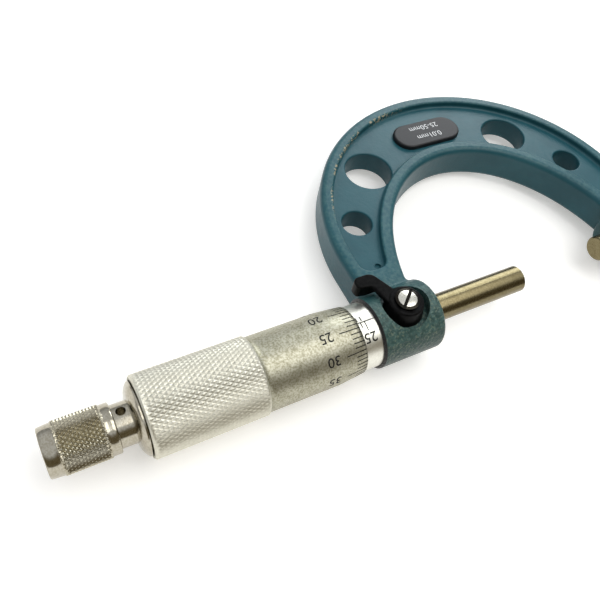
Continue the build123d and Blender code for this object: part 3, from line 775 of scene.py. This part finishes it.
print("text helpers: flat_text, wrapped_text")

# %% [markdown]
# ## The figures in place
#
# Every fifth line of the thimble and every fifth millimetre of the sleeve has its number. They could be
# stamped one by one; here each scale's numbers are one mesh, placed by the same sums as the lines. The
# bolder outline closes the counter of the figure 4, a fault which thin=0.0 would mend.

# %% Figures
figure_height = 2.3
thimble_figures = [
    (str(k), cone_end + 2.1, datum_angle + division * (k - reading_line)) for k in range(0, 50, 5)
]
points, faces = wrapped_text(thimble_figures, figure_height, drum_radius, thin=-0.02)
make_piece("thimble_figures", points, faces, "thimble_body", ink, smooth=False)
sleeve_figures = [(str(25 + n), zero + n, datum_angle + 3.75 / sleeve_radius) for n in range(0, 26, 5)]
points, faces = wrapped_text(sleeve_figures, figure_height, sleeve_radius, thin=-0.03)
make_piece("sleeve_figures", points, faces, "frame_body", ink, smooth=False)

# %% [markdown]
# ## Range plate
#
# The black plate says what the micrometer reads and over what range, in two lines of small pale letters.
# They could be a picture on the plate; as thin geometry they stay sharp and match the figures.

# %% Plate lettering
plate_low, plate_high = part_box("range_plate")
plate_middle = (np.array(plate_low) + np.array(plate_high)) / 2 / mm
plate_points, plate_faces, count = [], [], 0
for words, offset in (("0.01mm", 1.55), ("25-50mm", -1.75)):
    flat, faces = flat_text(words, 1.75, thin=0.01)
    flat = flat + np.array([plate_middle[0], plate_middle[1] + offset, plate_high.z / mm])
    plate_points.append(flat)
    plate_faces.append(faces + count)
    count += len(flat)
make_piece(
    "plate_lettering", np.concatenate(plate_points), np.concatenate(plate_faces),
    "frame_body", lettering, smooth=False,
)

# %% [markdown]
# ## Ratchet knob
#
# The knob is a small cap, knurled more deeply than the thimble so that wet fingers hold it. Its band
# is cut by the same knurl function, between a plain collar and a tapered end ring, and its mouth is
# open on the clutch inside. The clutch teeth of the solid knob, deep inside, are left out here.

# %% Knob
knob_low, knob_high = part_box("ratchet_knob")
knob_start, knob_end = knob_low.x / mm, knob_high.x / mm
knob_count, knob_pitch = 38, 1.25
knob_angles = np.arange(knob_count * knurl_steps) * 2 * np.pi / (knob_count * knurl_steps)
band_start, band_end = knob_start + 1.8, knob_start + 11.1
band_stations = np.arange(band_start + 0.3, band_end - 0.3, knob_pitch / knurl_steps)
web_end, cavity_radius, journal_bore = knob_start + 3.4, 4.25, 3.05
collar_radius, band_radius, band_crest, band_depth = 5.2, 5.4, 5.42, 0.32
collar = along(
    (knob_start, journal_bore), (knob_start, 5.05), (knob_start + 0.15, collar_radius),
    (band_start - 0.05, collar_radius), (band_start + 0.25, band_radius), step=0.6,
)
end_ring = along(
    (band_end - 0.25, band_radius), (band_end, 5.25), (knob_end - 0.2, 5.07), (knob_end, 4.9),
    (knob_end, cavity_radius), (web_end, cavity_radius), (web_end, journal_bore), step=0.8,
)
knob_cut = knurl(band_stations, knob_angles, knob_count, knob_pitch, band_depth)
from_ends = np.minimum(band_stations - band_stations[0], band_stations[-1] - band_stations)
band_fade = np.clip(from_ends / 0.4, 0.35, 1)
knob_points = np.concatenate([
    turned(collar[:, 0], collar[:, 1], knob_angles),
    turned(band_stations, band_crest - knob_cut * band_fade[:, None], knob_angles),
    turned(end_ring[:, 0], end_ring[:, 1], knob_angles),
])
knob = make_piece(
    "knob_turned", knob_points, split_faces(len(knob_points), len(knob_angles), len(collar)),
    "knob_body", bright_nickel,
)
dress_knurl(knob, band_start + 0.1, band_end - 0.1, 4.9, knurled_nickel)
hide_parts("ratchet_knob")

# %% [markdown]
# ## Floor
#
# The micrometer lies on its back: the grip's underside and the back of the bow touch the table. The
# floor is the plane under both. It reads as plain white in the picture but keeps the soft shadow,
# because its material adds its own white only for rays that come from the camera or off a mirror.

# %% Floor
bow_back_y, bow_back_z = -61.3, -4.75
tilt = math.atan2(grip_radius + bow_back_z, -bow_back_y)
floor_up = np.array([0.0, math.sin(tilt), math.cos(tilt)])
floor_level = -grip_radius - 0.02
half_side = 4000.0
side = np.array([1.0, 0.0, 0.0])
forward = np.cross(floor_up, side)
reaches = np.array([[-1, -1], [1, -1], [1, 1], [-1, 1]]) * half_side
floor_middle = floor_up * floor_level + np.array([40.0, 0, 0])
floor_points = floor_middle + reaches[:, :1] * side + reaches[:, 1:] * forward
floor_mesh = bpy.data.meshes.new("floor")
floor_mesh.from_pydata((floor_points * mm).tolist(), [], [(0, 1, 2, 3)])
floor = bpy.data.objects.new("floor", floor_mesh)
bpy.context.scene.collection.objects.link(floor)
print("floor tilt in degrees:", round(math.degrees(tilt), 2))

# %% [markdown]
# ## White paper
#
# The floor could simply be brighter, but then it would light everything from below. Its extra white
# is added only for rays from the camera, from a mirror or through glass.

# %% Floor material
floor_glow = 0.40
floor_material = bpy.data.materials.new("floor_white")
floor_material.use_nodes = True
tree = floor_material.node_tree
tree.nodes.clear()
paper = add_node(tree, "ShaderNodeBsdfDiffuse", {"Color": (0.86, 0.85, 0.83, 1.0)})
rays = tree.nodes.new("ShaderNodeLightPath").outputs
seen = math_node(tree, "ADD", rays["Is Camera Ray"], rays["Is Glossy Ray"])
seen = math_node(tree, "ADD", seen, rays["Is Transmission Ray"])
seen = add_node(tree, "ShaderNodeClamp", {0: seen}).outputs[0]
strength = math_node(tree, "MULTIPLY", seen, floor_glow)
glow = add_node(tree, "ShaderNodeEmission", {"Color": (1.0, 0.985, 0.95, 1.0), "Strength": strength})
both = add_node(tree, "ShaderNodeAddShader", {0: paper.outputs[0], 1: glow.outputs[0]})
tree.links.new(both.outputs[0], tree.nodes.new("ShaderNodeOutputMaterial").inputs[0])
floor.data.materials.append(floor_material)
print("floor material:", floor_material.name)

# %% [markdown]
# ## Light
#
# Metal shows its surroundings, so the light is mostly a large soft box over the work and a pale room:
# round parts are brightest along their middle and darker at both sides. A cooler box low behind the
# bow puts the sheen on its enamel.

# %% Lamps


def soft_box(name, place, look_at, size, power, colour):
    """A square lamp at a place in mm, turned to look at a point."""
    lamp = bpy.data.lights.new(name, "AREA")
    lamp.size = size
    lamp.energy = power
    lamp.color = colour
    holder = bpy.data.objects.new(name, lamp)
    away = np.array(place, float) - np.array(look_at, float)
    away /= np.linalg.norm(away)
    across = np.cross([0, 1, 0], away)
    across /= np.linalg.norm(across)
    matrix = np.eye(4)
    matrix[:3, :3] = np.stack([across, np.cross(away, across), away], 1)
    matrix[:3, 3] = np.array(place) * mm
    holder.matrix_world = Matrix(matrix.tolist())
    bpy.context.scene.collection.objects.link(holder)
    return holder


soft_box("overhead", (-77, 90, 418), (90, 0, 0), 0.35, 0.85, (1.0, 0.99, 0.96))
soft_box("key", (-280, -352, 250), (25, -45, 0), 0.25, 0.9, (0.94, 0.98, 1.0))
print("lamps:", [lamp.name for lamp in bpy.data.lights])

# %% [markdown]
# ## The room
#
# A picture of a real room could light the tool. A few sums on the direction do as well: a sky that
# brightens with height, and a brownish darker patch low on the looker's side. The camera sees white.

# %% Room
room = bpy.data.worlds.new("room")
bpy.context.scene.world = room
room.use_nodes = True
tree = room.node_tree
tree.nodes.clear()
direction = tree.nodes.new("ShaderNodeTexCoord").outputs["Generated"]
rise = add_node(tree, "ShaderNodeSeparateXYZ", {0: direction}).outputs[2]
sky = ramp(tree, rise, 0.0, 0.8)
shade = mix_colour(tree, sky, (0.34, 0.35, 0.37), (0.78, 0.80, 0.84))
nearer = ramp(tree, add_node(tree, "ShaderNodeSeparateXYZ", {0: direction}).outputs[1], 0.05, 0.6)
low = math_node(tree, "SUBTRACT", 1.0, ramp(tree, rise, 0.45, 0.8))
shade = mix_colour(tree, math_node(tree, "MULTIPLY", nearer, low), shade, (0.16, 0.13, 0.075))
rays = tree.nodes.new("ShaderNodeLightPath").outputs
seen = math_node(tree, "ADD", rays["Is Camera Ray"], rays["Is Transmission Ray"])
seen = add_node(tree, "ShaderNodeClamp", {0: seen}).outputs[0]
shade = mix_colour(tree, seen, shade, (1.0, 1.0, 1.0))
lit = add_node(tree, "ShaderNodeBackground", {"Color": shade, "Strength": 1.0})
tree.links.new(lit.outputs[0], tree.nodes.new("ShaderNodeOutputWorld").inputs[0])
print("world:", room.name)
